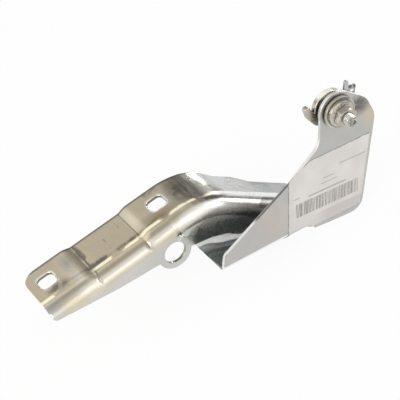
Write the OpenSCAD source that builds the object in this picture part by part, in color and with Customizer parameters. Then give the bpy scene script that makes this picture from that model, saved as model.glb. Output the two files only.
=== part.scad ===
// Bonnet hinge: a stamped gooseneck arm that turns on a pivot bolt in a body bracket.
// Origin: centre of the two body bolts, on the underside of the body bracket's foot.
// X runs along the arm, from the bonnet pads (negative) to the pivot. Y is the pivot axis. Z is up.

/* [Arm sheet] */
// Thickness of the arm's sheet steel
sheet = 2.5; // [2:0.1:3]
// Outer radius of the long bend between the top flange and the web
bend_r = 10.5; // [9:0.5:12]
// Distance from the web's outer face to the far edge of the pads
flange_w = 43; // [40:1:46]
// Height of the pads' upper face over the body
pad_h = 47; // [46:0.5:48]
// Distance from the arm's free end to the body bolts' centre
arm_reach = 208; // [206:1:212]

/* [Bonnet pads] */
// Depth of the centre panel under the pads
step_h = 2; // [1:0.5:3]
// Side of the square bolt holes
square_hole = 12; // [10:0.5:13]
// Distance from the free end to the first square hole
hole_1 = 13; // [12:0.5:15]
// Distance from the free end to the second square hole
hole_2 = 101; // [99:0.5:102]
// Distance from the web's outer face to the square holes
hole_y = 27.4; // [26:0.2:29]

/* [Gooseneck] */
// Distance from the free end to the start of the neck's curve
neck_start = 106; // [105:0.5:108]
// Radius of the neck's curve, over the sheet
neck_r = 55; // [50:1:60]
// Angle that the neck turns down
neck_angle = 42; // [40:1:44]
// Length of the straight run after the curve
neck_run = 66; // [64:1:67]
// Depth of the groove that stiffens the neck's side
groove_d = 1.2; // [0.8:0.1:1.8]

/* [Side lug] */
// Distance from the free end to the lug's centre
lug_x = 91.2; // [91:0.2:92]
// Depth of the lug's centre under the pads
lug_drop = 20.2; // [19.8:0.2:20.4]
// Radius of the hole in the side lug
lug_hole_r = 7.9; // [7:0.1:8.4]
// Outer radius of the side lug
lug_r = 12.4; // [12:0.1:13]

/* [Pivot plate] */
// Distance from the web's outer face forward to the plate's outer face
plate_y = 27.5; // [26:0.5:29]
// Outer radius of the fold between the channel's floor and the plate
fold_r = 6; // [5:0.5:7]
// Outer radius of the fold between the channel's floor and the web
rear_fold_r = 11.5; // [11:0.25:11.75]
// Slope of the front fold
front_slope = 11.2; // [10.6:0.2:11.8]
// Slope of the rear fold
rear_slope = 27; // [26.5:0.5:28]
// Depth of the plate's lowest corner under the pivot
plate_drop = 87; // [86:0.5:88]
// Radius of the plate's round end
eye_r = 14; // [13.5:0.25:15]

/* [Pivot] */
// Distance from the body bolts' centre to the pivot axis along the arm
pivot_x = 12.5; // [12:0.5:13]
// Height of the pivot axis over the body
pivot_z = 72.5; // [72:0.5:73]
// Outer radius of the pivot sleeve
sleeve_r = 5.5; // [5.3:0.1:5.8]
// Running clearance between sleeve and bushes, on the radius
run_gap = 0.05; // [0.03:0.01:0.08]
// Outer radius of the bushes in the plate
bush_r = 7; // [6.8:0.1:7.5]
// Radius of the bushes' flanges
bush_flange_r = 10.5; // [9:0.5:11]
// Thickness of the bushes' flanges
bush_flange_t = 0.8; // [0.8:0.1:1.5]
// Radius of the front washer
washer_r = 11.5; // [11:0.1:12.5]
// Thickness of the front washer
washer_t = 2; // [1.5:0.1:2.5]
// Thickness of the spacer washer behind the plate
spacer_t = 3; // [2.5:0.1:3.2]
// Radius of the spacer washer
spacer_r = 9.5; // [9:0.1:10]
// Radius of the pivot bolt
bolt_r = 4; // [3.9:0.05:4.05]
// Width across the flats of the bolt head and the nut
hex_af = 13; // [12:0.5:14]
// Height of the flange nut
nut_h = 8.5; // [7.5:0.5:9.5]
// Radius of the nut's flange
nut_flange_r = 9.8; // [9:0.1:10.5]
// Length of bolt that stands out of the nut
bolt_out = 5.5; // [4:0.1:6]

/* [Body bracket] */
// Thickness of the body bracket
bracket_t = 4; // [3.5:0.25:4]
// Radius of the bracket's round end
bracket_eye_r = 12.4; // [12:0.1:13]
// Distance that the bracket's round end is set off the pivot axis, to the arm's side
eye_offset = 1.2; // [0.8:0.1:1.5]
// Width of the foot along the arm
foot_w = 37; // [36:0.5:38]
// Distance from the bolts' centre line to the rear edge of the foot
foot_rear = 14; // [12:0.5:15]
// Distance between the two body bolt holes
bolt_pitch = 20; // [19:0.5:21]
// Radius of the body bolt holes
bolt_hole_r = 4.5; // [4.2:0.1:4.7]

/* [Hidden] */
$fn = 96;
zinc = [0.78, 0.76, 0.70];
steel = [0.70, 0.71, 0.72];
nylon = [0.16, 0.16, 0.15];
e = 0.02;
// Pivot seen from the arm's own corner: free end, web face, pad face
pv = [arm_reach + pivot_x, pivot_z - pad_h];
plate_back = -plate_y + sheet;
rear_face = plate_back + bush_flange_t;
spacer_front = rear_face + run_gap;
bracket_front = spacer_front + spacer_t;
bracket_back = bracket_front + bracket_t;
front_face = -plate_y - bush_flange_t;
washer_back = front_face - run_gap;
washer_front = washer_back - washer_t;
nut_front = washer_front - nut_h;
bolt_tip = nut_front - bolt_out;
// Neck: centre of its curve, and the end of the curve on the upper face
nc = [neck_start, -neck_r];
neck_end = nc + neck_r * [sin(neck_angle), cos(neck_angle)];
// Front fold of the channel: left end of the lower outer corner, run and up directions
ff = [108.2, -35];
fd = [cos(front_slope), -sin(front_slope)];
fu = [sin(front_slope), cos(front_slope)];
// Rear fold
rf = [108, -33.8];
rd = [cos(rear_slope), -sin(rear_slope)];
ru = [sin(rear_slope), cos(rear_slope)];
// Lengths of the reach that the two folds leave free
front_free = 139.2;
rear_free = 146;
front_run = arm_reach - front_free;
rear_run = arm_reach - rear_free;
// Corner of the plate by the end of the front fold, behind and under the pivot
toe_back = 42.9;
toe_drop = 75.9;

function unit(v) = v / norm(v);
function fillet(a, b, c, r, n) = r <= 0 ? [b] :
    let (u = unit(a - b), v = unit(c - b), h = acos(u * v) / 2,
         p = b + u * r / tan(h), q = b + v * r / tan(h), o = b + unit(u + v) * r / sin(h),
         a0 = atan2(p[1] - o[1], p[0] - o[0]), d = atan2(q[1] - o[1], q[0] - o[0]) - a0,
         s = d > 180 ? d - 360 : d < -180 ? d + 360 : d)
    [for (i = [0 : n]) o + r * [cos(a0 + s * i / n), sin(a0 + s * i / n)]];
// Closed outline from [x, y, corner radius] entries
function rounded(p, n = 8) = let (m = len(p)) [for (i = [0 : m - 1])
    let (a = p[(i + m - 1) % m], b = p[i], c = p[(i + 1) % m])
    each fillet([a[0], a[1]], [b[0], b[1]], [c[0], c[1]], b[2], n)];

// A flat outline in X and Z, given thickness along Y from y0 to y1
module wall(y0, y1) {
    translate([0, y1, 0]) rotate([90, 0, 0]) linear_extrude(y1 - y0) children();
}

// A sheet between two matched sets of section lines, outer a and inner b
module skin(a, b) {
    n = len(a) - 1;
    m = len(a[0]) - 1;
    k = m + 1;
    o = k * (n + 1);
    function quad(p, q, r, s) = [[p, r, q], [p, s, r]];
    polyhedron(concat([for (r = a) each r], [for (r = b) each r]), concat(
        [for (i = [0 : n - 1], j = [0 : m - 1]) each quad(i * k + j, i * k + j + 1, i * k + k + j + 1, i * k + k + j)],
        [for (i = [0 : n - 1], j = [0 : m - 1]) each quad(o + i * k + j, o + i * k + k + j, o + i * k + k + j + 1, o + i * k + j + 1)],
        [for (i = [0 : n - 1]) each quad(i * k, i * k + k, o + i * k + k, o + i * k)],
        [for (i = [0 : n - 1]) each quad(i * k + m, o + i * k + m, o + i * k + k + m, i * k + k + m)],
        [for (j = [0 : m - 1]) each quad(j, o + j, o + j + 1, j + 1)],
        [for (j = [0 : m - 1]) each quad(n * k + j, n * k + j + 1, o + n * k + j + 1, o + n * k + j)]));
}

// Upper face of the top flange along the arm: [x, z, slope]
function ramp(x, x0, x1) = x <= x0 ? 0 : x >= x1 ? 1 : (x - x0) / (x1 - x0);
function smooth(t) = t * t * (3 - 2 * t);
function dip(t) = t * t * (1.6 - 0.6 * t);
crease_1 = 39;
crease_2 = 78;
function pad_line(x) = -step_h * min(dip(ramp(x, crease_1 - 7.5, crease_1)), dip(ramp(-x, -crease_2 - 7.5, -crease_2)));
// Small darts pressed into the bend where the creases run out
function bump(t) = t <= -1 || t >= 1 ? 0 : pow(1 - t * t, 2);
function dart(x, t) = step_h / 4 * (bump((x - crease_1) / 1.5) + bump((x - crease_2) / 1.5)) * bump((t - 42) / 22);
arm_line = concat(
    [for (x = [0, 0.6, 1.6, 3, 5, 8, 11, 16, 22, 28]) [x, pad_line(x), 0]],
    [for (d = [-7.5, -6, -4.5, -3.5, -2.6, -1.8, -1.2, -0.6, 0, 0.6, 1.2, 1.8, 3]) [crease_1 + d, pad_line(crease_1 + d), 0]],
    [for (x = [48, 54, 62, 70]) [x, pad_line(x), 0]],
    [for (d = [-3, -1.8, -1.2, -0.6, 0, 0.6, 1.2, 1.8, 2.6, 3.5, 4.5, 6, 7.5]) [crease_2 + d, pad_line(crease_2 + d), 0]],
    [for (x = [90, 95, 97, 98.5, 100, 101.5, 103.5]) [x, pad_line(x), 0]],
    [for (i = [0 : 18]) let (t = neck_angle * i / 18) [nc[0] + neck_r * sin(t), nc[1] + neck_r * cos(t), t]],
    [for (i = [1 : 10]) [neck_end[0] + neck_run * i / 10 * cos(neck_angle), neck_end[1] - neck_run * i / 10 * sin(neck_angle), neck_angle]]);
// Far edge of the top flange, and depth of the web under the upper face
function far_edge(x) = x < 11 ? flange_w - 11 + sqrt(121 - pow(11 - x, 2)) : flange_w - 6 * smooth(ramp(x, 128, 153)) - 6.5 * smooth(ramp(x, 148, 176));
function web_low(x) = x < 5.3 ? -4.6 - 4.6 * sqrt(1 - pow(1 - x / 5.3, 2)) : x < 48 ? -9.2 - 8.2 * (x - 5.3) / 42.7 : x < 80 ? -17.4 - 4 * (x - 48) / 32 : -21.4 - 3.2 * ramp(x, 80, 103);
function web_depth(q) = q[0] < 106.5 ? q[1] - web_low(q[0]) :
    (q[1] - rear_line[1] + tan(rear_slope) * (q[0] - rear_line[0])) / (cos(q[2]) + tan(rear_slope) * sin(q[2]));
rear_line = rf + ru * (rear_fold_r + 0.6);
// Groove along the neck's side, and its lower line under the upper face
function groove(x) = groove_d * smooth(ramp(x, 96.5, 101));
groove_low = bend_r + 1.6;
// Slack waves in the free edge of the neck, left by the forming
function wave(x) = 0.7 * bump((x - 147) / 7) - 0.5 * bump((x - 158) / 6) + 0.5 * bump((x - 168) / 6);
function at(q, y, d) = [q[0] - d * sin(q[2]), y, q[1] - d * cos(q[2])];
arc_n = 12;
function lip_ring(q, k) = let (h = web_depth(q), g = groove(q[0]), ry = bend_r - k, rz = min(bend_r, h - 0.8) - k, gl = min(groove_low, h - 0.4))
    concat([at(q, far_edge(q[0]), k + wave(q[0])), at(q, (far_edge(q[0]) + bend_r) / 2, k + wave(q[0]) / 4)],
        [for (i = [0 : arc_n]) let (t = 90 * i / arc_n) let (w = dart(q[0], t)) at(q, g + bend_r - (ry - w) * sin(t), k + rz - (rz - w) * cos(t))],
        [at(q, g + k, min(gl - 0.3, max(gl - 0.7, k + rz + 0.01))), at(q, k, min(gl + 2.4, h - 0.2)), at(q, k, h)]);

module top_lip() {
    skin([for (q = arm_line) lip_ring(q, 0)], [for (q = arm_line) lip_ring(q, sheet)]);
}

// The channel under the neck: rear fold, floor and front fold
channel_n = 10;
function fold_pt(f, i, y, n) = let (o = f == 0 ? ff : rf, d = f == 0 ? fd : rd,
    u = f == 0 ? fu : i > 0 ? ru : [-0.28, 0.96],
    run = f == 0 ? front_run : rear_run, q = o + d * run * i / channel_n + u * n) [q[0], y, q[1]];
function channel_ring(i, k) = concat(
    [fold_pt(1, i, sheet - k, rear_fold_r + (i < 2 ? 4.5 : 2.2))],
    [for (j = [0 : 9]) let (t = 10 * j, r = rear_fold_r - k) fold_pt(1, i, sheet - rear_fold_r + r * cos(t), rear_fold_r - r * sin(t))],
    [for (j = [0 : 9]) let (t = 10 * j, r = fold_r - k) fold_pt(0, i, -plate_y + fold_r - r * sin(t), fold_r - r * cos(t))],
    [fold_pt(0, i, -plate_y + k, fold_r + 2.2)]);

module channel() {
    skin([for (i = [channel_n : -1 : 0]) channel_ring(i, 0)], [for (i = [channel_n : -1 : 0]) channel_ring(i, sheet)]);
}

// Outline of the pivot plate over its fold
module plate_plan() {
    a = ff + fu * (fold_r + 1.2) + fd * 0.2;
    b = ff + fu * (fold_r + 1.2) + fd * (front_run - 0.2);
    u = plate_drop / 100;
    function near(x, z, r) = [pv[0] + x * u, pv[1] + z * u, r];
    polygon(rounded(concat(
        [[a[0], a[1], 0], [112.7, -22.2, 4], near(-55, -33, 30), near(-39.7, -26.1, 20), near(-22.6, -18.5, 14)],
        [for (t = [176 : -5 : 46]) [pv[0] + eye_r * cos(t), pv[1] + eye_r * sin(t), 0]],
        [near(25.4, -5.6, 16), near(28.5, -24.5, 16), near(-7.2, -100, 10), near(-35, -92, 20), [pv[0] - toe_back, pv[1] - toe_drop, 1.2], [b[0], b[1], 0]])));
}

module square_cut(x) {
    h = square_hole / 2;
    r = square_hole * 0.29;
    translate([x, hole_y, -10]) linear_extrude(20)
        polygon(rounded([[-h, -h, r], [h, -h, r], [h, h, r], [-h, h, r]]));
}

module bonnet_arm() {
    color(zinc) translate([-arm_reach, 0, pad_h]) difference() {
        union() {
            top_lip();
            wall(0, sheet) translate([lug_x, -lug_drop]) polygon([for (t = [131 : 4 : 411]) lug_r * [cos(t), sin(t)]]);
            channel();
            wall(-plate_y, plate_back) plate_plan();
        }
        square_cut(hole_1);
        square_cut(hole_2);
        translate([lug_x, 10, -lug_drop]) rotate([90, 0, 0]) cylinder(r = lug_hole_r, h = 20);
        translate([pv[0], plate_back + 1, pv[1]]) rotate([90, 0, 0]) cylinder(r = bush_r, h = sheet + 2);
    }
}

// A ring about the pivot axis between two places on it
module ring(y0, y1, ro, ri) {
    translate([pivot_x, y1, pivot_z]) rotate([90, 0, 0]) difference() {
        cylinder(r = ro, h = y1 - y0);
        translate([0, 0, -1]) cylinder(r = ri, h = y1 - y0 + 2);
    }
}

module front_bush() {
    color(nylon) {
        ring(front_face, -plate_y, bush_flange_r, sleeve_r + run_gap);
        ring(front_face, -plate_y + sheet / 2 - 0.05, bush_r, sleeve_r + run_gap);
    }
}

module rear_bush() {
    color(nylon) {
        ring(plate_back, rear_face, bush_flange_r, sleeve_r + run_gap);
        ring(plate_back - sheet / 2 + 0.05, rear_face, bush_r, sleeve_r + run_gap);
    }
}

module body_bracket() {
    h = foot_w / 2;
    r = 7;
    color(zinc) difference() {
        union() {
            wall(bracket_front, bracket_back) {
                polygon(rounded([[-h, r - e, 0], [-h, 12, 8], [-3, 42, 30], [pivot_x - 8.4, pivot_z - 13, 5], [pivot_x - 9, pivot_z - 4, 0],
                    [pivot_x - eye_offset + bracket_eye_r, pivot_z, 0], [24, 42, 30], [h, 12, 8], [h, r - e, 0]]));
                translate([pivot_x - eye_offset, pivot_z]) circle(bracket_eye_r);
                translate([pivot_x, pivot_z]) polygon(rounded([[-11, -9.6, 0], [-15.4, -5.2, 6], [-18.9, 3, 8],
                    [-18.8, 11.4, 1.6], [-15, 10.2, 1.4], [-13.6, 4, 2.5], [-10, 2, 0], [-7, -3, 0]]));
            }
            translate([-h, 0, 0]) rotate([90, 0, 90]) linear_extrude(foot_w) intersection() {
                translate([bracket_front + r, r]) difference() { circle(r); circle(r - bracket_t); }
                translate([bracket_front, 0]) square([r + e, r + e]);
            }
            linear_extrude(bracket_t) polygon(rounded([[-h, bracket_front + r, 0], [h, bracket_front + r, 0], [h, foot_rear, 7], [-h, foot_rear, 7]]));
        }
        for (s = [-1, 1]) translate([s * bolt_pitch / 2, 0, -1]) cylinder(r = bolt_hole_r, h = bracket_t + 2);
        translate([pivot_x, bracket_back + 1, pivot_z]) rotate([90, 0, 0]) cylinder(r = bolt_r + 0.1, h = bracket_t + 2);
    }
}

module pivot_bolt() {
    color(steel) translate([pivot_x, 0, pivot_z]) {
        translate([0, bracket_back + 5.3, 0]) rotate([90, 0, 0]) intersection() {
            cylinder(d = hex_af / cos(30), h = 5.3, $fn = 6);
            union() {
                cylinder(r1 = hex_af / 2 - 0.2, r2 = hex_af / 2 + 1.6, h = 1.2);
                translate([0, 0, 1.2]) cylinder(r = hex_af / 2 + 1.6, h = 4.1);
            }
        }
        translate([0, bracket_back + e, 0]) rotate([90, 0, 0]) cylinder(r = bolt_r, h = bracket_back + e - bolt_tip - 1);
        translate([0, bolt_tip + 1, 0]) rotate([90, 0, 0]) cylinder(r1 = bolt_r, r2 = bolt_r - 0.9, h = 1);
    }
}

module pivot_sleeve() { color(steel) ring(washer_back, bracket_front, sleeve_r, bolt_r + 0.1); }

// Flat washer between plate and bracket, with a locating ear
module spacer_washer() {
    w = spacer_r * 1.28;
    color(steel) difference() {
        union() {
            translate([pivot_x, bracket_front, pivot_z]) rotate([90, 0, 0]) cylinder(r = spacer_r, h = spacer_t);
            wall(spacer_front, spacer_front + spacer_t / 2) translate([pivot_x, pivot_z])
                polygon(rounded([[0.6 * w, 0.15 * w, 0], [1.07 * w, 1.25 * w, 1.2], [1.61 * w, 0.53 * w, 1.2], [1.3 * w, -0.1 * w, 3], [0.66 * w, -0.33 * w, 0]]));
        }
        translate([pivot_x, bracket_front + 1, pivot_z]) rotate([90, 0, 0]) cylinder(r = sleeve_r + 0.1, h = spacer_t + 2);
    }
}

module front_washer() { color(zinc) ring(washer_front, washer_back, washer_r, bolt_r + 0.2); }

module flange_nut() {
    color(zinc) translate([pivot_x, washer_front, pivot_z]) rotate([90, 0, 0]) difference() {
        union() {
            cylinder(r = nut_flange_r, h = 1.3);
            translate([0, 0, 1.3 - e]) cylinder(r1 = nut_flange_r, r2 = hex_af / 2 + 0.4, h = 1.3);
            intersection() {
                cylinder(d = hex_af / cos(30), h = nut_h, $fn = 6);
                union() {
                    cylinder(r = nut_flange_r, h = nut_h - 1.1);
                    translate([0, 0, nut_h - 1.1 - e]) cylinder(r1 = hex_af / 2 + 1.5, r2 = hex_af / 2 - 0.3, h = 1.1 + e);
                }
            }
        }
        translate([0, 0, -1]) cylinder(r = bolt_r + 0.02, h = nut_h + 2);
    }
}

bonnet_arm();
front_bush();
rear_bush();
body_bracket();
pivot_bolt();
pivot_sleeve();
spacer_washer();
front_washer();
flange_nut();
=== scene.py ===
import bpy
import numpy as np
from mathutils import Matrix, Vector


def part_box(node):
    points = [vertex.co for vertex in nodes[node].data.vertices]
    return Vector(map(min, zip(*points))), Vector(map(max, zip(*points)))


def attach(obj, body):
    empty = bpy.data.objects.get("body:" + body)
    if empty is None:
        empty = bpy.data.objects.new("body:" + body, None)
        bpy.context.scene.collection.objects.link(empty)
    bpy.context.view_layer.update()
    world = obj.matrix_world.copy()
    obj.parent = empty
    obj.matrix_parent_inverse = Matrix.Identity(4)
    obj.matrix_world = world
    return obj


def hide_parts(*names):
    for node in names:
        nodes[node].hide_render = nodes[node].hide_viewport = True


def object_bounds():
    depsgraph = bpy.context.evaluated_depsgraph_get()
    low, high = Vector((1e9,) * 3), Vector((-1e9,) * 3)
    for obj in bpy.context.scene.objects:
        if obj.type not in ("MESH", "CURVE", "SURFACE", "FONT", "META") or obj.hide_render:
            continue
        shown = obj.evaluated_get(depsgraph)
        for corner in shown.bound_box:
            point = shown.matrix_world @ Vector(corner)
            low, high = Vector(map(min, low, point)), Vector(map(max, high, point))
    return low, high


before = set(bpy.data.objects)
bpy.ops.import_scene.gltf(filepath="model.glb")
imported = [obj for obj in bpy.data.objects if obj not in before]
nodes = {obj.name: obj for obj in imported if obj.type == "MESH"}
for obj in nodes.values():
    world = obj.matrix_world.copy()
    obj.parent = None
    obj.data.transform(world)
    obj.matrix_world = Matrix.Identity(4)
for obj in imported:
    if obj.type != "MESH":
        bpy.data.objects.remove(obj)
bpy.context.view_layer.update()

bpy.context.scene.view_settings.view_transform = "Standard"

# Bonnet arm: one blank of 2.5 mm sheet steel, pressed to an angle with two joggled pads, a gooseneck and a
# folded channel that ends in the pivot plate. It is zinc plated with a yellowish passivate, and bolts in the
# square holes hold it to the bonnet. Its places are in metres, in the part's frame.
arm = nodes["bonnet_arm"]
sheet = 0.0025
free_end, plate_front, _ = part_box("bonnet_arm")[0]
plate_back = plate_front + sheet
pad_top, panel_top = 0.047, 0.045
hole_x, hole_y, hole_half, hole_rim_half = (-0.1950, -0.1070), 0.0274, 0.00625, 0.0072
crease_x, dart_x = (-0.1675, -0.1303), (-0.1690, -0.1300)
lug_hole, lug_reach = (-0.1168, 0.00125, 0.0268), 0.0082
# These are the middles of painted bands: shade above the long bend's middle, the golden highlight on its
# upper side, shade below its middle and a highlight on its lower side.
brown_y, gold_y, olive_y, low_highlight_y = 0.0153, 0.0121, 0.0068, 0.0033
# The first two are the middles of painted highlights on the neck's upper and lower bend.
neck_line_y, neck_highlight_y, bend_from_z = 0.0120, 0.0045, (0.030, 0.036)
edge_half, back_half, end_face = 0.00105, 0.0004, 0.0004

bare_zinc = [(0.32, (0.57, 0.585, 0.59)), (0.5, (0.60, 0.60, 0.585)), (0.68, (0.63, 0.61, 0.565))]
gold_zinc = [(0.3, (0.65, 0.615, 0.51)), (0.5, (0.68, 0.615, 0.47)), (0.7, (0.66, 0.57, 0.42))]
web_zinc = [(0.35, (0.64, 0.585, 0.58)), (0.5, (0.61, 0.60, 0.575)), (0.65, (0.575, 0.62, 0.57))]
plate_zinc = [(0.3, (0.44, 0.44, 0.43)), (0.7, (0.53, 0.515, 0.485))]
rainbow = [
    (0.35, (0.95, 0.87, 0.64)),
    (0.55, (0.93, 0.86, 0.84)),
    (0.75, (0.90, 0.92, 0.84)),
    (0.95, (0.95, 0.86, 0.66)),
]
rainbow_rate, rainbow_shift = 60.0, 10.9
# The second and third colours are painted shade on the bend.
brass_tone, brown_shade, olive_shade = (0.66, 0.57, 0.43), (0.36, 0.32, 0.23), (0.38, 0.365, 0.31)
# The third colour is a painted dark reflection at the plate's top.
pink_stain, tan_stain, plate_dark_reflection = (0.60, 0.50, 0.45), (0.62, 0.53, 0.40), (0.22, 0.21, 0.195)
brown_stain, grey_stain, web_stain = (0.42, 0.345, 0.225), (0.40, 0.38, 0.32), (0.46, 0.47, 0.44)
recess_shade, channel_shade, neck_shade = (0.12, 0.13, 0.135), (0.13, 0.15, 0.155), (0.16, 0.16, 0.145)
# The first colour is dirt and painted shade, the second painted shade on the holes' walls and the third a
# painted shadow on the plate's edge.
dirt_and_shade, hole_wall_shade, edge_shade = (0.15, 0.14, 0.125), (0.20, 0.185, 0.13), (0.22, 0.22, 0.21)
# Painted light: a highlight on the fold, a highlight on the plate's edge and light on the plate's back.
fold_highlight_tone, plate_edge_highlight, plate_back_light = (0.93, 0.95, 0.95), (0.92, 0.92, 0.90), (0.88, 0.88, 0.86)
# All three are painted highlights: on the bend's lower side, on the neck's lower bend and on the neck's upper
# bend.
bend_highlight_tone, neck_bend_highlight, neck_line_highlight = (0.97, 0.94, 0.89), (0.97, 0.97, 0.93), (0.97, 0.97, 0.95)
# The first two are painted highlights, on a ramp and on the holes' rims; the third is the free end's face,
# made nearly white.
ramp_highlight, rim_highlight, end_face_white = (0.94, 0.88, 0.73), (0.98, 0.96, 0.90), (0.96, 0.94, 0.88)
# The first colour is a painted golden highlight along the bend.
gold_highlight_tone, worn_zinc = (1.0, 0.92, 0.68), (0.80, 0.80, 0.78)
neck_grey, streak_grey = (0.60, 0.61, 0.61), (0.32, 0.335, 0.33)


class Nodes:
    """Short calls on a node tree. Inputs are fed from sockets or plain values."""

    def __init__(self, tree):
        self.tree = tree
        self.tree.nodes.clear()

    def feed(self, socket, value):
        if isinstance(value, bpy.types.NodeSocket):
            self.tree.links.new(value, socket)
        else:
            socket.default_value = value

    def add(self, kind, inputs=None, **settings):
        node = self.tree.nodes.new(kind)
        for key, value in settings.items():
            setattr(node, key, value)
        for key, value in (inputs or {}).items():
            self.feed(node.inputs[key], value)
        return node

    def math(self, operation, a, b=0.0, c=0.0, clamp=False):
        return self.add("ShaderNodeMath", {0: a, 1: b, 2: c}, operation=operation, use_clamp=clamp).outputs[0]

    def times(self, first, *others):
        """The product of the values."""
        for other in others:
            first = self.math("MULTIPLY", first, other)
        return first

    def plus(self, first, *others):
        """The sum of the values."""
        for other in others:
            first = self.math("ADD", first, other)
        return first

    def without(self, value, share):
        """1 less a share of the value."""
        return self.math("MULTIPLY_ADD", value, -share, 1.0)

    def away(self, value, middle):
        """How far the value is from middle, either way."""
        return self.math("ABSOLUTE", self.math("SUBTRACT", value, middle))

    def within(self, value, middle, half):
        """1 where the value is less than half away from middle, else 0."""
        return self.math("LESS_THAN", self.away(value, middle), half)

    def steps(self, value, low, high):
        """0 at low, 1 at high, smooth between."""
        inputs = {"Value": value, "From Min": low, "From Max": high}
        return self.add("ShaderNodeMapRange", inputs, interpolation_type="SMOOTHSTEP").outputs[0]

    def stripe(self, value, middle, rim, core):
        """1 less than core away from middle, 0 more than rim away, smooth between."""
        return self.steps(self.away(value, middle), rim, core)

    def mix(self, share, a, b):
        inputs = {"Factor": share, "A": a, "B": b}
        return self.add("ShaderNodeMix", inputs, data_type="RGBA").outputs["Result"]

    def ramp(self, value, stops):
        """Colours along the value, from stops of place and colour."""
        node = self.add("ShaderNodeValToRGB", {"Fac": value})
        line = node.color_ramp.elements
        while len(line) < len(stops):
            line.new(0.5)
        for element, (at, colour) in zip(line, stops):
            element.position = at
            element.color = (*colour, 1.0)
        return node.outputs["Color"]


class Finish(Nodes):
    """A material on Object coordinates x, y, z. Its skin is the colour so far, and coats are laid over it."""

    def __init__(self, name):
        self.material = bpy.data.materials.new(name)
        self.material.use_nodes = True
        super().__init__(self.material.node_tree)
        self.surface = self.add("ShaderNodeBsdfPrincipled")
        self.add("ShaderNodeOutputMaterial", {"Surface": self.surface.outputs[0]})
        self.place = self.add("ShaderNodeTexCoord").outputs["Object"]
        self.x, self.y, self.z = self.add("ShaderNodeSeparateXYZ", {"Vector": self.place}).outputs
        self.skin = None

    def noise(self, scale, detail=3.0, rough=0.55, stretch=None, distort=0.0):
        """Cloudy noise on the coordinates, which are first multiplied by stretch."""
        where = self.place
        if stretch:
            where = self.add("ShaderNodeMapping", {"Vector": where, "Scale": stretch}).outputs[0]
        inputs = {"Vector": where, "Scale": scale, "Detail": detail, "Roughness": rough}
        return self.add("ShaderNodeTexNoise", {**inputs, "Distortion": distort}).outputs["Fac"]

    def spot(self, centre, half):
        """1 at a place on the piece, 0 at half sizes from it: 1 less the distance in those sizes."""
        inputs = {"Vector": self.place, "Location": centre, "Scale": half}
        where = self.add("ShaderNodeMapping", inputs, vector_type="TEXTURE").outputs[0]
        return self.add("ShaderNodeTexGradient", {"Vector": where}, gradient_type="SPHERICAL").outputs["Fac"]

    def shelter(self, distance, most, least, **settings):
        """0 where most of the view is open within distance, 1 where only least is, smooth between."""
        node = self.add("ShaderNodeAmbientOcclusion", {"Distance": distance}, samples=8, **settings)
        return self.steps(node.outputs["AO"], most, least)

    def coat(self, share, colour):
        """Lays a colour over the skin by share."""
        flat = isinstance(colour, tuple)
        self.skin = self.mix(share, self.skin, (*colour, 1.0) if flat else colour)

    def lay_spot(self, centre, half, share, colour):
        """Lays a colour over one place, a stain or painted light, and returns its share."""
        share = self.math("MULTIPLY", self.spot(centre, half), share, clamp=True)
        self.coat(share, colour)
        return share

    def wear(self, flat, sharp, share, colour):
        """Lays a colour over outer edges: none at a pointiness of flat, the full share at sharp."""
        point = self.add("ShaderNodeNewGeometry").outputs["Pointiness"]
        self.coat(self.times(self.steps(point, flat, sharp), share), colour)

    def close(self, roughness, height, depth, metallic=1.0):
        """Feeds the shader: the skin, roughness, and a bump of height in units of depth metres."""
        bump = self.add("ShaderNodeBump", {"Height": height, "Strength": 1.0, "Distance": depth})
        self.feed(self.surface.inputs["Normal"], bump.outputs[0])
        self.feed(self.surface.inputs["Base Color"], self.skin)
        self.feed(self.surface.inputs["Roughness"], roughness)
        self.feed(self.surface.inputs["Metallic"], metallic)
        return self.material


def soften(piece, width, keep, flatten=False):
    """Finishes a solid's facets: joins them, rounds the sheared edges by width metres, and leaves edges that
    turn more than keep degrees crisp. With flatten, triangles that lie in one plane become one face first."""
    same_point, same_plane = 2e-6, np.radians(0.2)
    tree = bpy.data.node_groups.new(piece.name + "_facets", "GeometryNodeTree")
    tree.interface.new_socket("Geometry", in_out="INPUT", socket_type="NodeSocketGeometry")
    tree.interface.new_socket("Geometry", in_out="OUTPUT", socket_type="NodeSocketGeometry")
    g = Nodes(tree)
    solid = g.add("NodeGroupInput").outputs[0]
    joined = g.add("GeometryNodeMergeByDistance", {"Geometry": solid, "Distance": same_point})
    turn = g.add("GeometryNodeInputMeshEdgeAngle").outputs["Unsigned Angle"]
    both = {0: turn, 1: np.radians(keep)}
    crisp = g.add("FunctionNodeCompare", both, data_type="FLOAT", operation="GREATER_THAN")
    inputs = {"Mesh": joined.outputs[0], "Remove Custom": True, "Edge Sharpness": crisp.outputs[0]}
    shaded = g.add("GeometryNodeSetMeshNormal", inputs, mode="SHARPNESS")
    g.add("NodeGroupOutput", {0: shaded.outputs["Mesh"]})
    piece.modifiers.new("facets", "NODES").node_group = tree
    if flatten:
        flat = piece.modifiers.new("flat_faces", "DECIMATE")
        flat.decimate_type = "DISSOLVE"
        flat.angle_limit = same_plane
    round_off = piece.modifiers.new("sheared_edges", "BEVEL")
    round_off.width = width
    round_off.segments = 2
    round_off.limit_method = "ANGLE"
    round_off.angle_limit = np.radians(keep)
    round_off.use_clamp_overlap = False
    shading = piece.modifiers.new("shading", "WEIGHTED_NORMAL")
    shading.keep_sharp = True


def dress(piece, material):
    """Gives a CAD piece one material in place of its own."""
    piece.data.materials.clear()
    piece.data.materials.append(material)


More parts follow.
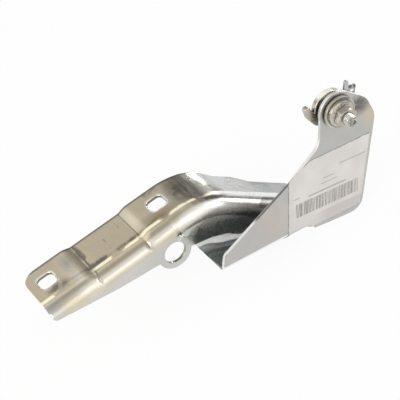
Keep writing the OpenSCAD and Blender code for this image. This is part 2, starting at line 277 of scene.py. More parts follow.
def lay_plating(f, cloud, on_plate):
    """Zinc, yellow on the pads and the panel, paler on the web and at the free end, grey on the pivot plate,
    with rainbow tarnish on the first ramp and two stains on the plate."""
    on_web = f.times(f.steps(f.z, 0.041, 0.034), f.steps(f.x, -0.218, -0.165))
    at_end = f.times(f.steps(f.x, -0.192, -0.204), f.steps(f.y, 0.011, 0.006))
    warm = f.plus(f.steps(f.x, -0.045, -0.110), f.times(cloud, 0.5))
    warm = f.times(f.steps(warm, 0.15, 1.25), f.without(on_web, 0.75), f.without(at_end, 0.85))
    gold = f.ramp(f.noise(52, 4, 0.6, distort=0.8), gold_zinc)
    f.skin = f.mix(warm, f.ramp(cloud, bare_zinc), gold)
    along_ramp = f.math("MULTIPLY_ADD", f.x, rainbow_rate, rainbow_shift)
    tarnish = f.ramp(f.plus(along_ramp, f.noise(120, 3, 0.6)), rainbow)
    f.lay_spot((-0.1740, 0.022, 0.046), (0.013, 0.034, 0.02), 0.9, tarnish)
    f.lay_spot((-0.1480, 0.024, panel_top), (0.030, 0.030, 0.02), 0.7, brass_tone)
    f.coat(f.times(on_web, 0.55), f.ramp(f.noise(26, 2, 0.5, distort=0.6), web_zinc))
    f.coat(f.times(on_plate, 0.85), f.ramp(cloud, plate_zinc))
    f.lay_spot((-0.0562, plate_front, 0.0247), (0.018, 0.004, 0.015), 0.5, pink_stain)
    f.lay_spot((0.0325, plate_front, 0.053), (0.008, 0.004, 0.016), 0.8, tan_stain)


def shade_bend(f, cloud):
    """Painted shade: two soft dark bands along the pads, above and below the middle of the long bend."""
    along_pads = f.times(f.steps(f.x, -0.092, -0.100), f.steps(f.z, *bend_from_z))
    over_bend = f.times(f.stripe(f.y, brown_y, 0.0016, 0.0006), along_pads, 0.35)
    f.coat(f.times(over_bend, f.steps(cloud, 0.40, 0.55)), brown_shade)
    f.coat(f.times(f.stripe(f.y, olive_y, 0.0017, 0.0006), along_pads, 0.30), olive_shade)


def shade_channel(f, cloud):
    """Painted shade on the sheltered places and the channel's inside, and a painted highlight band on the
    fold that borders it. The band's two edges move out by about a millimetre towards the neck. Returns the
    band."""
    low_edge = f.math("MULTIPLY_ADD", f.steps(f.x, -0.097, -0.085), 0.0012, f.y)
    top_edge = f.math("MULTIPLY_ADD", f.steps(f.x, -0.080, -0.0705), 0.0009, f.y)
    fold_highlight = f.times(f.steps(low_edge, -0.0018, -0.0008), f.steps(top_edge, -0.00015, -0.00035))
    recess = f.shelter(0.04, 0.86, 0.42, only_local=True)
    f.coat(f.times(recess, f.without(fold_highlight, 1.0), 0.45), recess_shade)
    inside = f.times(f.steps(f.y, plate_back, plate_back + sheet), f.steps(low_edge, -0.0008, -0.0018))
    f.coat(f.times(inside, 0.86), channel_shade)
    # Painted highlight: a light band on the fold.
    f.coat(f.times(fold_highlight, f.math("MULTIPLY_ADD", cloud, 0.6, 0.65, clamp=True)), fold_highlight_tone)
    return fold_highlight


def stains_and_painted_light(f):
    """A painted highlight along the bend's lower side, marks on the pads and the web, a painted highlight on
    a ramp, and a painted dark reflection on the plate.
    """
    # Painted highlight along the bend's lower side.
    bend_highlight = f.times(f.stripe(f.y, low_highlight_y, 0.0022, 0.0008), f.steps(f.z, 0.033, 0.037), 0.70)
    f.coat(f.times(bend_highlight, f.steps(f.x, -0.080, -0.095), f.steps(f.x, -0.198, -0.175)), bend_highlight_tone)
    f.lay_spot((-0.1120, 0.0155, pad_top), (0.024, 0.009, 0.010), 1.1, brown_stain)
    f.lay_spot((-0.1778, 0.0305, pad_top), (0.0065, 0.013, 0.010), 0.75, grey_stain)
    # Painted highlight on the second ramp.
    f.lay_spot((-0.1265, 0.0285, 0.046), (0.006, 0.020, 0.010), 0.55, ramp_highlight)
    # Painted dark reflection at the plate's top.
    f.lay_spot((0.0290, plate_front, 0.066), (0.015, 0.006, 0.010), 0.85, plate_dark_reflection)
    f.lay_spot((-0.1140, 0.0, 0.028), (0.034, 0.010, 0.020), 0.6, web_stain)


def darken(f):
    """Pressing dirt and painted shade: smears down the crest and its foot, partly painted shade, dots of
    painted shade in the darts, lines of painted shade along the creases, blots of dirt and of painted shade,
    and a line of painted shade along the far rim. All are added up to at most 1. Returns the sum."""
    smear = f.noise(330, 4, 0.65, stretch=(1.0, 0.12, 1.0))
    blot = f.steps(f.noise(150, 5, 0.7, distort=0.6), 0.36, 0.60)
    # Dirt and painted shade down the crest and its foot.
    crest = f.times(f.spot((-0.080, 0.026, 0.044), (0.020, 0.034, 0.02)), f.steps(smear, 0.28, 0.60), 1.6)
    crest_foot = f.spot((-0.0755, 0.0165, 0.039), (0.0085, 0.013, 0.012))
    dark = f.plus(crest, f.times(crest_foot, f.steps(smear, 0.22, 0.50), 2.2))
    # Painted shade in the darts and along the creases.
    for middle, much in zip(dart_x, (0.9, 1.6)):
        dark = f.plus(dark, f.times(f.spot((middle, 0.0036, 0.0425), (0.0026, 0.0040, 0.0040)), much))
    first = f.times(f.stripe(f.x, crease_x[0], 0.0010, 0.0002), f.steps(f.y, 0.004, 0.010))
    second = f.times(f.stripe(f.x, crease_x[1], 0.0007, 0.0002), f.steps(f.y, 0.008, 0.014))
    dark = f.plus(dark, f.times(first, f.steps(f.noise(300, 3), 0.25, 0.55)), f.times(second, 0.55))
    # Blots of dirt and of painted shade, on the crease, the crest and the plate's top among them.
    for centre, half, much in [
        ((-0.1672, 0.030, panel_top), (0.003, 0.016, 0.02), 2.0),
        ((-0.1490, 0.0295, panel_top), (0.0006, 0.004, 0.01), 1.6),
        ((-0.1361, 0.0345, panel_top), (0.0006, 0.005, 0.01), 1.6),
        ((-0.1665, 0.014, panel_top), (0.007, 0.006, 0.01), 1.8),
        ((-0.1920, 0.0165, pad_top), (0.010, 0.006, 0.01), 1.6),
        ((-0.1380, 0.014, panel_top), (0.016, 0.004, 0.01), 1.6),
        ((-0.1060, 0.041, pad_top), (0.008, 0.005, 0.01), 1.4),
        ((-0.0925, 0.027, 0.046), (0.007, 0.012, 0.012), 0.8),
        ((-0.0690, 0.014, 0.041), (0.010, 0.012, 0.012), 1.8),
        ((-0.1150, 0.013, pad_top), (0.010, 0.004, 0.01), 1.2),
        ((-0.1610, 0.0150, panel_top), (0.010, 0.004, 0.01), 2.4),
        ((0.0275, plate_front, 0.067), (0.013, 0.004, 0.010), 1.5),
    ]:
        dark = f.plus(dark, f.times(f.spot(centre, half), much, blot))
    # Painted shade along the far rim.
    far_rim = f.times(f.steps(f.y, 0.0404, 0.0418), f.steps(f.x, -0.060, -0.075), 0.9)
    dark = f.math("MINIMUM", f.plus(dark, far_rim), 1.0)
    # The sum is laid on as dirt and painted shade.
    f.coat(f.times(dark, 0.8), dirt_and_shade)
    return dark


def paint_gold_highlight(f):
    """Painted highlight: a broken golden line along the bend's upper side, missing on the first ramp.
    Returns the line.
    """
    line = f.times(f.stripe(f.y, gold_y, 0.0021, 0.0007), f.steps(f.x, -0.066, -0.080))
    broken = f.times(f.steps(f.z, *bend_from_z), f.steps(f.noise(60, 3, 0.6), 0.40, 0.53))
    line = f.times(line, broken, f.steps(f.away(f.x, -0.176), 0.003, 0.012))
    # Painted golden highlight.
    f.coat(line, gold_highlight_tone)
    return line


def finish_cuts(f, at_back):
    """Cut edges: worn outer edges, a painted highlight on the holes' rims and painted shade on their walls,
    and painted light on the plate's back and edge, with a painted shadow on the edge under the neck. A rim is
    a
    square with round corners: the fourth powers of both distances add up to less than 1."""
    f.wear(0.53, 0.62, 0.4, worn_zinc)
    from_hole = f.math("MINIMUM", f.away(f.x, hole_x[0]), f.away(f.x, hole_x[1]))
    across = f.math("POWER", f.math("DIVIDE", from_hole, hole_rim_half), 4.0)
    along = f.math("POWER", f.math("DIVIDE", f.away(f.y, hole_y), hole_rim_half), 4.0)
    rim = f.math("LESS_THAN", f.plus(across, along), 1.0)
    rim = f.times(rim, f.math("GREATER_THAN", f.z, pad_top - sheet / 5))
    # Painted highlight on the holes' rims.
    f.coat(f.times(rim, f.steps(f.noise(140, 3, 0.6), 0.40, 0.56)), rim_highlight)
    wall = f.times(f.math("LESS_THAN", from_hole, hole_half), f.within(f.y, hole_y, hole_half))
    wall = f.times(wall, f.math("LESS_THAN", f.z, pad_top - sheet / 10))
    from_lug = f.add("ShaderNodeVectorMath", {0: f.place, 1: lug_hole}, operation="DISTANCE").outputs["Value"]
    wall = f.math("MAXIMUM", wall, f.times(f.math("LESS_THAN", from_lug, lug_reach), 0.6))
    # Painted shade on the holes' walls and about the lug's hole.
    f.coat(f.times(wall, 0.9), hole_wall_shade)
    plate_edge = f.within(f.y, (plate_front + plate_back) / 2, edge_half)
    # Painted highlight on the plate's edge.
    f.coat(f.times(plate_edge, 0.9), plate_edge_highlight)
    under_neck = f.times(f.steps(f.x, -0.070, -0.064), f.steps(f.x, -0.032, -0.036))
    # Painted shadow on the plate's edge under the neck.
    f.coat(f.times(plate_edge, under_neck, f.steps(f.z, 0.020, 0.026)), edge_shade)
    # Painted light on the plate's back.
    f.coat(at_back, plate_back_light)


def band_neck(f):
    """The gooseneck: grey, with a streaked side, a painted highlight on its lower bend, a painted highlight
    line on its upper bend and painted shade along its foot that widens towards the pivot. The free end's face
    is made nearly white too."""
    above_bend = f.steps(f.y, 0.009, 0.012)
    f.coat(f.times(above_bend, f.steps(f.x, -0.066, -0.060), 0.7), neck_grey)
    streak = f.steps(f.noise(60, 3, 0.6, stretch=(0.45, 1.5, 0.45), distort=0.8), 0.40, 0.64)
    streak = f.math("MULTIPLY_ADD", f.times(streak, above_bend), 0.40, 0.58)
    f.coat(f.times(streak, f.steps(f.x, -0.050, -0.038), f.steps(f.y, 0.010, 0.018)), streak_grey)
    on_neck = f.times(f.steps(f.x, -0.112, -0.096), f.steps(f.x, -0.052, -0.066))
    # Painted highlight on the neck's lower bend.
    f.coat(f.times(f.stripe(f.y, neck_highlight_y, 0.0034, 0.0012), on_neck, 0.75), neck_bend_highlight)
    neck_line = f.times(f.stripe(f.y, neck_line_y, 0.0032, 0.0018), f.steps(f.x, -0.0755, -0.071))
    # Painted highlight line on the neck's upper bend.
    f.coat(f.times(neck_line, 0.9), neck_line_highlight)
    foot = f.steps(f.math("MULTIPLY_ADD", f.steps(f.x, -0.052, -0.042), -0.006, f.y), 0.0034, 0.0020)
    foot = f.times(foot, f.steps(f.y, 0.0003, 0.0010), f.steps(f.x, -0.075, -0.058))
    # Painted shade along the neck's foot.
    f.coat(f.times(foot, 0.75), neck_shade)
    # The free end's face made nearly white.
    f.coat(f.times(f.math("LESS_THAN", f.x, free_end + end_face), 0.8), end_face_white)


def arm_plating():
    """All coats in order, then the relief: a fine grain, scratches along the arm, soft dents, and wrinkles on
    the neck's side. Rougher on the plate, its back and the dirt and painted shade, and less metallic on the
    painted highlights of the fold's band and the golden line."""
    f = Finish("arm_plating")
    cloud = f.noise(34, 4, 0.6, distort=0.6)
    on_plate = f.steps(f.y, -0.0200, -0.0245)
    at_back = f.within(f.y, plate_back, back_half)
    lay_plating(f, cloud, on_plate)
    shade_bend(f, cloud)
    fold_highlight = shade_channel(f, cloud)
    stains_and_painted_light(f)
    dark = darken(f)
    gold_highlight = paint_gold_highlight(f)
    finish_cuts(f, at_back)
    band_neck(f)
    rough = f.math("MULTIPLY_ADD", f.noise(210, 4, 0.6), 0.20, 0.16)
    rough = f.plus(rough, f.times(on_plate, 0.14), f.times(dark, 0.10), f.times(at_back, 0.30))
    grain = f.times(f.noise(1700, 3, 0.6), 0.15)
    scratches = f.times(f.noise(260, 2, 0.5, stretch=(1.0, 9.0, 9.0)), 0.6)
    dents = f.times(f.noise(75, 3, 0.5), 2.5)
    neck_side = f.spot((-0.038, 0.030, 0.020), (0.034, 0.020, 0.030))
    wrinkles = f.times(neck_side, f.noise(105, 2, 0.5, distort=1.2), 14.0)
    metal = f.math("SUBTRACT", f.without(fold_highlight, 0.85), f.times(gold_highlight, 0.9), clamp=True)
    return f.close(rough, f.plus(grain, scratches, dents, wrinkles), 0.00006, metal)


soften(arm, width=0.00035, keep=40)
dress(arm, arm_plating())

# Paper label: a plain white sticker, about 0.1 mm thick, rubbed down on the pivot plate and over the start of
# its fold. It carries only printed bars and rules. Its points are in mm along the arm from the free end, and
# up from the pads.
label_low = np.array([(157.9, -42.3), (166.9, -44.7), (177.6, -48.4), (196.0, -53.2), (214.5, -56.9)])
label_left = np.array([(157.9, -42.3), (164.4, -22.9), (171.8, -0.7), (178.6, 0.9), (190.8, 3.4)])
label_corner = np.array((237.3, -7.3))
label_gap, label_thickness = 0.12, 0.1
fold_start, fold_slope, fold_radius, fold_most = (107.0, -28.7), np.radians(11.2), 6.0, 5.9
wrap_end, wrap_fade = 177.0, 5.0
crease_height, crease_waves, crease_share = 0.05, (0.9, 0.5), 0.06
print_start, print_along, print_across = (-0.0399, 0.0144), 9.66, 2.6
bars_per_unit, label_columns, label_rows = 84.0, 73, 57
stock_white = [(0.3, (0.575, 0.55, 0.535)), (0.7, (0.65, 0.625, 0.61))]
foot_grey, border_grey, ink_black = (0.46, 0.43, 0.42), (0.28, 0.27, 0.26), (0.10, 0.09, 0.09)


def put(name, data):
    """A new object in the scene, at the origin."""
    thing = bpy.data.objects.new(name, data)
    bpy.context.scene.collection.objects.link(thing)
    return thing


def grid_quads(rows, columns):
    """The quads of a grid of points that are counted row by row."""
    index = np.arange(rows * columns).reshape(rows, columns)
    return np.stack([index[:-1, :-1], index[1:, :-1], index[1:, 1:], index[:-1, 1:]], -1).reshape(-1, 4)


def along_line(line, share):
    """The points at these shares of a line's length."""
    length = np.concatenate([[0.0], np.cumsum(np.hypot(*np.diff(line, axis=0).T))])
    return np.stack([np.interp(share * length[-1], length, line[:, k]) for k in (0, 1)], -1)


def paper(u, v):
    """A patch between four edges: each edge blended with the opposite one, less the corners' own blend. It
    lies a gap off the plate. Past the fold's start it goes inward on a circle, smoothly less towards the
    wrap's end. The crease is a sine wave under a bell curve near the left edge."""
    a, b, c, d = label_low[0], label_low[-1], label_left[-1], label_corner
    s, t = u[..., None], v[..., None]
    patch = (1 - t) * along_line(label_low, u) + t * (c + s * (d - c))
    patch = patch + (1 - s) * along_line(label_left, v) + s * (b + t * (d - b))
    patch = patch - (1 - s) * ((1 - t) * a + t * c) - s * ((1 - t) * b + t * d)
    run, rise = patch[..., 0], patch[..., 1]
    past_fold = fold_start[1] - np.tan(fold_slope) * (run - fold_start[0]) - rise
    past_fold = np.clip(past_fold * np.cos(fold_slope), 0.0, fold_most)
    wrap = np.clip((wrap_end - run) / wrap_fade, 0.0, 1.0)
    inward = (fold_radius - np.sqrt(fold_radius ** 2 - past_fold ** 2)) * wrap * wrap * (3 - 2 * wrap)
    crease = crease_height * np.sin(crease_waves[0] * run + crease_waves[1] * rise)
    crease = crease * np.exp(-((u - crease_share) / crease_share) ** 2)
    off_plate = inward - label_gap - np.abs(crease)
    return np.stack([run / 1000 + free_end, off_plate / 1000 + plate_front, rise / 1000 + pad_top], -1)


def printed_paper():
    """Soft white stock with a grey foot and a darker, patchy border, one field of bars of uneven width, and
    five rules. The print has its own UV map, turned as the label was stuck on."""
    f = Finish("printed_paper")
    print_map = f.add("ShaderNodeUVMap", uv_map="print").outputs[0]
    patch_map = f.add("ShaderNodeUVMap", uv_map="patch").outputs[0]
    a, b, _ = f.add("ShaderNodeSeparateXYZ", {"Vector": print_map}).outputs
    u, v, _ = f.add("ShaderNodeSeparateXYZ", {"Vector": patch_map}).outputs
    bar_place = f.times(a, bars_per_unit)
    number = {"W": f.math("FLOOR", bar_place)}
    width = f.add("ShaderNodeTexWhiteNoise", number, noise_dimensions="1D").outputs["Value"]
    bars = f.math("LESS_THAN", f.math("FRACT", bar_place), f.math("MULTIPLY_ADD", width, 0.5, 0.28))
    bars = f.times(bars, f.within(a, 0.25, 0.25), f.within(b, 0.054, 0.054))
    rules = 0.0
    for across, half_length, up, half_width in [
        (0.25, 0.15, 0.134, 0.006),
        (0.265, 0.065, 0.189, 0.004),
        (0.265, 0.045, 0.226, 0.004),
        (0.455, 0.105, 0.289, 0.004),
        (0.005, 0.025, 0.154, 0.004),
    ]:
        rule = f.times(f.within(a, across, half_length), f.within(b, up, half_width))
        rules = f.math("ADD", rule, rules, clamp=True)
    ink = f.times(f.plus(f.times(bars, 0.78), f.times(rules, 0.45)), f.steps(f.noise(900, 2), 0.25, 0.45))
    f.skin = f.ramp(f.noise(60, 4, 0.6), stock_white)
    f.coat(f.times(f.math("LESS_THAN", b, -0.033), f.steps(a, 0.12, 0.25), 0.6), foot_grey)
    border = f.math("MAXIMUM", f.steps(v, 0.982, 1.0), f.steps(u, 0.012, 0.0))
    f.coat(f.times(border, f.steps(f.noise(420, 3, 0.6), 0.35, 0.60)), border_grey)
    f.coat(ink, ink_black)
    f.surface.inputs["Specular IOR Level"].default_value = 0.35
    return f.close(f.math("MULTIPLY_ADD", f.noise(500, 3), 0.2, 0.45), f.noise(2400, 3, 0.6), 0.00002, 0.0)


u, v = np.meshgrid(np.linspace(0, 1, label_columns), np.linspace(0, 1, label_rows), indexing="ij")
points = paper(u, v)
quads = grid_quads(*u.shape)
paper_mesh = bpy.data.meshes.new("paper_label")
paper_mesh.from_pydata(points.reshape(-1, 3).tolist(), [], quads.tolist())
run, rise = points[..., 0] - print_start[0], points[..., 2] - print_start[1]
turned = np.stack([run * print_along - rise * print_across, run * print_across + rise * print_along], -1)
for map_name, places in [("print", turned), ("patch", np.stack([u, v], -1))]:
    layer = paper_mesh.uv_layers.new(name=map_name)
    layer.data.foreach_set("uv", places.reshape(-1, 2)[quads.reshape(-1)].astype(np.float32).ravel())
paper_mesh.polygons.foreach_set("use_smooth", np.ones(len(quads), dtype=bool))
paper_mesh.materials.append(printed_paper())
label = put("paper_label", paper_mesh)
thickness = label.modifiers.new("paper", "SOLIDIFY")
thickness.thickness = label_thickness / 1000
thickness.offset = 0.0
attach(label, "bonnet_side")

# Pivot bushes: two flanged rings moulded in dark nylon, pressed into the plate from both sides, on which the
# arm turns over a steel sleeve.
nylon_black = [(0.3, (0.070, 0.075, 0.068)), (0.7, (0.110, 0.112, 0.100))]


def bush_nylon():
    """Dark nylon, slightly mottled, with the mould's fine grain."""
    f = Finish("bush_nylon")
    f.skin = f.ramp(f.noise(300, 4, 0.6), nylon_black)
    return f.close(f.math("MULTIPLY_ADD", f.noise(700, 3), 0.2, 0.38), f.noise(3200, 3), 0.00003, 0.0)


nylon = bush_nylon()
for name in ("front_bush", "rear_bush"):
    soften(nodes[name], width=0.0002, keep=40)
    dress(nodes[name], nylon)

# Body bracket: 4 mm steel strip with a round eye and a stop hook, folded to a foot with two bolt holes. It is
# sheared, bent and zinc plated with a yellow passivate, and screws to the car body.
bracket = nodes["body_bracket"]
strip = 0.004
# The third colour is painted shade in narrow gaps.
rubbed_grey, worn_yellow, gap_shade = (0.62, 0.62, 0.60), (0.82, 0.80, 0.74), (0.10, 0.12, 0.105)


def yellow_zinc(name, pale, deep, scale, roughness, light_spot, light_spot_half, light_spot_grey, light_spot_metal):
    """Yellow passivate over zinc: a cloudy change between a pale and a deep tint, grey where it is rubbed,
    worn edges, painted shade in narrow gaps, one spot of painted light that is a highlight when its grey is
    high and a shade when it is low, less metallic there, and a fine grain."""
    f = Finish(name)
    faded = (pale[0], pale[1] * 0.93, pale[2] * 0.96)
    f.skin = f.ramp(f.noise(scale, 4, 0.65, distort=1.0), [(0.3, pale), (0.55, deep), (0.75, faded)])
    rub = f.steps(f.noise(scale * 2.7, 5, 0.7, distort=0.8), 0.52, 0.70)
    f.coat(f.times(rub, 0.6), rubbed_grey)
    f.wear(0.52, 0.60, 0.55, worn_yellow)
    # Painted shade in narrow gaps.
    f.coat(f.times(f.shelter(0.005, 0.75, 0.35), 0.8), gap_shade)
    # One spot of painted light: a highlight when its grey is high, a shade when it is low.
    light_spot_share = f.lay_spot(light_spot, light_spot_half, 1.8, (light_spot_grey, light_spot_grey * 0.97, light_spot_grey * 0.90))
    height = f.plus(f.noise(2300, 3, 0.6), f.times(f.noise(330, 3), 1.5))
    metal = f.without(light_spot_share, 1.0 - light_spot_metal)
    return f.close(f.math("MULTIPLY_ADD", f.noise(600, 3), 0.18, roughness), height, 0.00004, metal)


soften(bracket, width=0.0005, keep=40, flatten=True)
# Its spot of light is a painted highlight on the bracket.
dress(bracket, yellow_zinc(
    "bracket_passivate", pale=(0.50, 0.48, 0.41), deep=(0.46, 0.42, 0.325), scale=90, roughness=0.20,
    light_spot=(0.0105, -0.0190, 0.0845), light_spot_half=(0.0085, 0.0040, 0.0035), light_spot_grey=1.0, light_spot_metal=0.3))

# Spacer washer: a punched steel ring with a locating ear, between the plate and the bracket's eye, and the
# steel sleeve that the nut clamps. Both are left as plain bright zinc.
washer_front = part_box("spacer_washer")[0][1]
dull_zinc = [(0.3, (0.28, 0.285, 0.28)), (0.7, (0.43, 0.425, 0.41))]


def bright_zinc():
    """Bright zinc with worn edges. Five marks on the ear stand for its light and dark sides."""
    f = Finish("bright_zinc")
    f.skin = f.ramp(f.noise(160, 4, 0.65), dull_zinc)
    f.wear(0.52, 0.60, 0.5, worn_zinc)
    for x, z, half, grey in [
        (0.0290, 0.0832, (0.0030, 0.003, 0.0024), 1.0),
        (0.0275, 0.0769, (0.0020, 0.002, 0.0013), 1.0),
        (0.0250, 0.0815, (0.0030, 0.002, 0.0060), 0.50),
        (0.0275, 0.0804, (0.0017, 0.002, 0.0016), 0.12),
        (0.0306, 0.0787, (0.0011, 0.002, 0.0020), 0.14),
    ]:
        f.lay_spot((x, washer_front + 0.00005, z), half, 2.2, (grey, grey, grey))
    return f.close(f.math("MULTIPLY_ADD", f.noise(700, 3), 0.18, 0.20), f.noise(2600, 3, 0.6), 0.00004)


bright = bright_zinc()
for name in ("spacer_washer", "pivot_sleeve"):
    soften(nodes[name], width=0.00025, keep=40, flatten=True)
    dress(nodes[name], bright)

# Pivot bolt: an M8 hexagon bolt, cold headed and with a rolled thread, zinc plated. Its head bears on the
# bracket's eye and its end stands out of the nut. Its sizes are in mm.
pitch, thread_depth, thread_radius, thread_end = 1.25, 0.62, 4.0, -33.0
saw_slope, saw_flat = 1.25, 0.12
tip_radius, tip_taper, thread_start, thread_run_in = 3.1, 0.95, 0.12, 1.2
bolt_low, bolt_high = (1000 * np.array(corner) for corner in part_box("pivot_bolt"))
axis_x, _, axis_z = (bolt_low + bolt_high) / 2
bolt_tip, head_high = bolt_low[1], bolt_high[1]
head_low = 1000 * (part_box("body_bracket")[0][1] + strip)
half_flats = (bolt_high[2] - bolt_low[2]) / 2
around, thread_rings = 96, 96
bolt_zinc = [(0.3, (0.55, 0.55, 0.54)), (0.55, (0.68, 0.68, 0.66)), (0.75, (0.70, 0.67, 0.59))]
# The first colour is painted shade in the thread's roots; the third darkens the tip.
thread_root_shade, worn_thread, dark_tip = (0.10, 0.095, 0.08), (0.85, 0.85, 0.83), (0.20, 0.19, 0.13)


def bolt_rings():
    """Rings from the tip's hollow to the head: place along the axis, radius, 1 on the hexagon, and the share
    of thread, which grows from the tip and fades over the last millimetre."""
    along = np.linspace(bolt_tip + thread_start, thread_end, thread_rings)
    radius = np.minimum(thread_radius, tip_radius + (along - bolt_tip) * tip_taper)
    share = np.clip((along - bolt_tip) / thread_run_in, 0, 1) * np.clip(thread_end - along, 0, 1)
    hollow = [(0.9, 0.5), (0.75, 1.55), (0.0, 1.75), (0.0, 2.95)]
    head = [(head_low, 6.4), (head_low, 8.0), (head_high - 1.25, 8.0)]
    head += [(head_high - 0.75, 7.2), (head_high, 6.3), (head_high, 5.0)]
    rings = [(bolt_tip + depth, wide, 0, 0) for depth, wide in hollow]
    rings += list(zip(along, radius, np.zeros(thread_rings), share))
    rings += [(at, thread_radius, 0, 0) for at in (thread_end + 0.4, head_low)]
    rings += [(at, wide, 1, 0) for at, wide in head]
    return np.array(rings)


def bolt_surface(rings, angle):
    """Rings along the axis: radius is the smaller of the ring's own and, on the head, the hexagon's distance
    at that angle; on the thread a flattened saw of the turn and the place along the axis is taken off."""
    along, limit, hexagon, thread = rings.T[:, :, None]
    flats = half_flats / np.cos((angle + np.pi / 6) % (np.pi / 3) - np.pi / 6)
    radius = np.where(hexagon > 0, np.minimum(limit, flats), limit)
    turn = (along / pitch + angle / (2 * np.pi)) % 1.0
    saw = np.clip(np.abs(2 * turn - 1) * saw_slope - saw_flat, 0.0, 1.0)
    radius = radius - thread * thread_depth * saw
    along = np.broadcast_to(along, radius.shape)
    return np.stack([axis_x + radius * np.cos(angle), along, axis_z + radius * np.sin(angle)], -1) / 1000.0


def rolled_zinc():
    """Bright zinc, with painted shade in the thread's roots, worn on its edges, with a darker, patchy tip.
    The roots follow the same turn as the bolt's surface."""
    f = Finish("rolled_zinc")
    f.skin = f.ramp(f.noise(260, 4, 0.65), bolt_zinc)
    bearing = f.math("ARCTAN2", f.plus(f.z, -axis_z / 1000), f.plus(f.x, -axis_x / 1000))
    turn = f.plus(f.times(f.y, 1000 / pitch), f.math("DIVIDE", bearing, 2 * np.pi))
    saw = f.math("ABSOLUTE", f.math("MULTIPLY_ADD", f.math("FRACT", turn), 2.0, -1.0))
    on_thread = f.math("LESS_THAN", f.y, (thread_end - 0.5) / 1000)
    # Painted shade in the thread's roots.
    f.coat(f.times(f.steps(saw, 0.35, 0.85), on_thread, 0.45), thread_root_shade)
    f.wear(0.52, 0.60, 0.5, worn_thread)
    on_tip = f.math("LESS_THAN", f.y, (bolt_tip + 1.05) / 1000)
    # A darker, patchy tip.
    f.coat(f.times(on_tip, f.steps(f.noise(900, 3, 0.6), 0.35, 0.60), 0.8), dark_tip)
    return f.close(f.math("MULTIPLY_ADD", f.noise(800, 3), 0.15, 0.16), f.noise(2900, 3, 0.6), 0.00003)


points = bolt_surface(bolt_rings(), np.linspace(0, 2 * np.pi, around, endpoint=False))
index = np.arange(points.shape[0] * around).reshape(-1, around)
after = np.roll(index, -1, axis=1)
sides = np.stack([index[:-1], after[:-1], after[1:], index[1:]], -1).reshape(-1, 4).tolist()
caps = [index[0][::-1].tolist(), index[-1].tolist()]
bolt_mesh = bpy.data.meshes.new("bolt_m8")
bolt_mesh.from_pydata(points.reshape(-1, 3).tolist(), [], sides + caps)
bolt_mesh.polygons.foreach_set("use_smooth", np.ones(len(bolt_mesh.polygons), dtype=bool))
bolt_mesh.set_sharp_from_angle(angle=np.radians(38))
bolt_mesh.materials.append(rolled_zinc())
bolt = put("bolt_m8", bolt_mesh)
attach(bolt, "body_side")
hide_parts("pivot_bolt")

# Front washer and flange nut: a punched flat washer and a cold formed nut with a wide conical flange, both
# zinc plated with a yellow passivate. The nut clamps washer and sleeve to the bracket.
# Its spot of light is a painted shade on the washer's upper right.
fastener = yellow_zinc(
    "nut_passivate", pale=(0.52, 0.51, 0.455), deep=(0.47, 0.44, 0.355), scale=170, roughness=0.14,
    light_spot=(0.0185, -0.0312, 0.0805), light_spot_half=(0.0070, 0.0040, 0.0050), light_spot_grey=0.24, light_spot_metal=0.8)
for name in ("front_washer", "flange_nut"):
    soften(nodes[name], width=0.00025, keep=25)
    dress(nodes[name], fastener)

# Studio: a floor that looks white and keeps the part's shadow, a sky and six soft boxes. The sky's far side
# is dark at the horizon and brighter to the left, and its near side is bright, as the plating shows.
floor_half, floor_points, floor_drop = 6.0, 41, 0.0005
floor_grey, floor_glow = (0.86, 0.86, 0.86, 1.0), 0.92
far_greys = [(0.0, 0.08), (0.38, 0.20), (0.50, 0.50), (0.70, 0.68)]
far_greys += [(0.79, 0.74), (0.85, 1.0), (0.91, 0.72), (1.0, 0.46)]
near_greys = [(0.0, 0.82), (0.25, 0.90), (0.50, 1.0), (0.72, 0.80), (0.90, 0.66), (1.0, 0.52)]
far_lean, far_middle, sides_blend = 0.85, 1.18, 0.15


def white_floor():
    """A grey matt paint that glows white where the camera, a reflection or a clear piece looks at it."""
    material = bpy.data.materials.new("pale_floor")
    material.use_nodes = True
    n = Nodes(material.node_tree)
    ray = n.add("ShaderNodeLightPath").outputs
    seen = n.math("MAXIMUM", ray["Is Camera Ray"], ray["Is Glossy Ray"])
    seen = n.math("MAXIMUM", seen, ray["Is Transmission Ray"])
    paint = n.add("ShaderNodeBsdfDiffuse", {"Color": floor_grey}).outputs[0]
    glow = n.add("ShaderNodeEmission", {"Strength": 1.0}).outputs[0]
    both = n.add("ShaderNodeMixShader", {0: n.times(seen, floor_glow), 1: paint, 2: glow}).outputs[0]
    n.add("ShaderNodeOutputMaterial", {"Surface": both})
    return material


def warm_greys(greys):
    """Stops of a slightly warm grey each."""
    return [(at, (grey, grey * 0.985, grey * 0.96)) for at, grey in greys]


def studio_sky():
    """Two sides of greys, from the horizon at 0 to the zenith at 1, blended where they meet. The far one is
    multiplied by a value that falls from left to right."""
    world = bpy.data.worlds.new("studio_sky")
    world.use_nodes = True
    n = Nodes(world.node_tree)
    way = n.add("ShaderNodeTexCoord").outputs["Generated"]
    across, deep, up = n.add("ShaderNodeSeparateXYZ", {"Vector": way}).outputs
    far = n.ramp(up, warm_greys(far_greys))
    near = n.ramp(up, warm_greys(near_greys))
    lean = n.math("MULTIPLY_ADD", across, -far_lean, far_middle)
    far = n.add("ShaderNodeVectorMath", {0: far, "Scale": lean}, operation="SCALE").outputs[0]
    colour = n.mix(n.steps(deep, sides_blend, -sides_blend), far, near)
    light = n.add("ShaderNodeBackground", {"Color": colour}).outputs[0]
    n.add("ShaderNodeOutputWorld", {"Surface": light})
    return world


def stand(thing, side, up, behind, place):
    """Sets an object's pose from its three axes and its place."""
    pose = np.eye(4)
    pose[:, :3] = np.stack([side, up, behind, place])
    thing.matrix_world = pose.tolist()


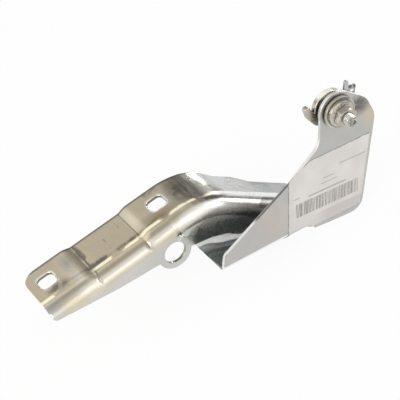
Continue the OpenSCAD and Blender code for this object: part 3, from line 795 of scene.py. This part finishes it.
def soft_box(name, place, aim, size, watts):
    """A square lamp that faces aim: its axes are the aim line, its level side line and their cross."""
    lamp = bpy.data.lights.new(name, "AREA")
    lamp.size = size
    lamp.energy = watts
    behind = np.array(place) - np.array(aim)
    behind = behind / np.linalg.norm(behind)
    side = np.cross((0.0, 0.0, 1.0), behind)
    side = side / np.linalg.norm(side)
    stand(put(name, lamp), side, np.cross(behind, side), behind, place)


line = np.linspace(-floor_half, floor_half, floor_points)
u, v = np.meshgrid(line, line, indexing="ij")
ground = np.stack([u, v, np.full(u.shape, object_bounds()[0][2] - floor_drop)], -1)
floor_mesh = bpy.data.meshes.new("studio_floor")
floor_mesh.from_pydata(ground.reshape(-1, 3).tolist(), [], grid_quads(*u.shape).tolist())
floor_mesh.materials.append(white_floor())
floor = put("studio_floor", floor_mesh)
bpy.context.scene.world = studio_sky()
soft_box("box_front", place=(0.15, -1.25, 0.55), aim=(-0.08, 0.0, 0.03), size=0.9, watts=1.0)
soft_box("box_left", place=(-1.0, -0.35, 0.75), aim=(-0.08, 0.0, 0.03), size=0.6, watts=4.5)
soft_box("box_right", place=(1.1, -0.45, 0.20), aim=(-0.04, 0.0, 0.03), size=1.0, watts=9.0)
soft_box("box_far", place=(0.763, 0.869, 0.195), aim=(-0.075, 0.025, 0.04), size=0.09, watts=0.8)
soft_box("box_right_rear", place=(1.02, 0.51, 0.10), aim=(-0.055, 0.01, 0.025), size=0.30, watts=0.28)
soft_box("box_rear_left", place=(-0.78, 0.80, 0.22), aim=(0.0, 0.0, 0.05), size=0.45, watts=0.8)

# Camera: the photograph's own view, from the nut's side and from above, turned so that the arm climbs to the
# right. Its axes and place are in the part's frame.
camera_right = np.array((0.7953, -0.5282, -0.2974))
camera_down = np.array((-0.5673, -0.4759, -0.6720))
camera_ahead = np.array((0.2134, 0.7032, -0.6782))
camera_place = (-0.30363, -0.71377, 0.74087)
lens = bpy.data.cameras.new("photo_view")
lens.sensor_width = 36.0
lens.lens = 141.8
lens.clip_end = 20.0
camera = put("photo_view", lens)
stand(camera, camera_right, -camera_down, -camera_ahead, camera_place)
bpy.context.scene.camera = camera
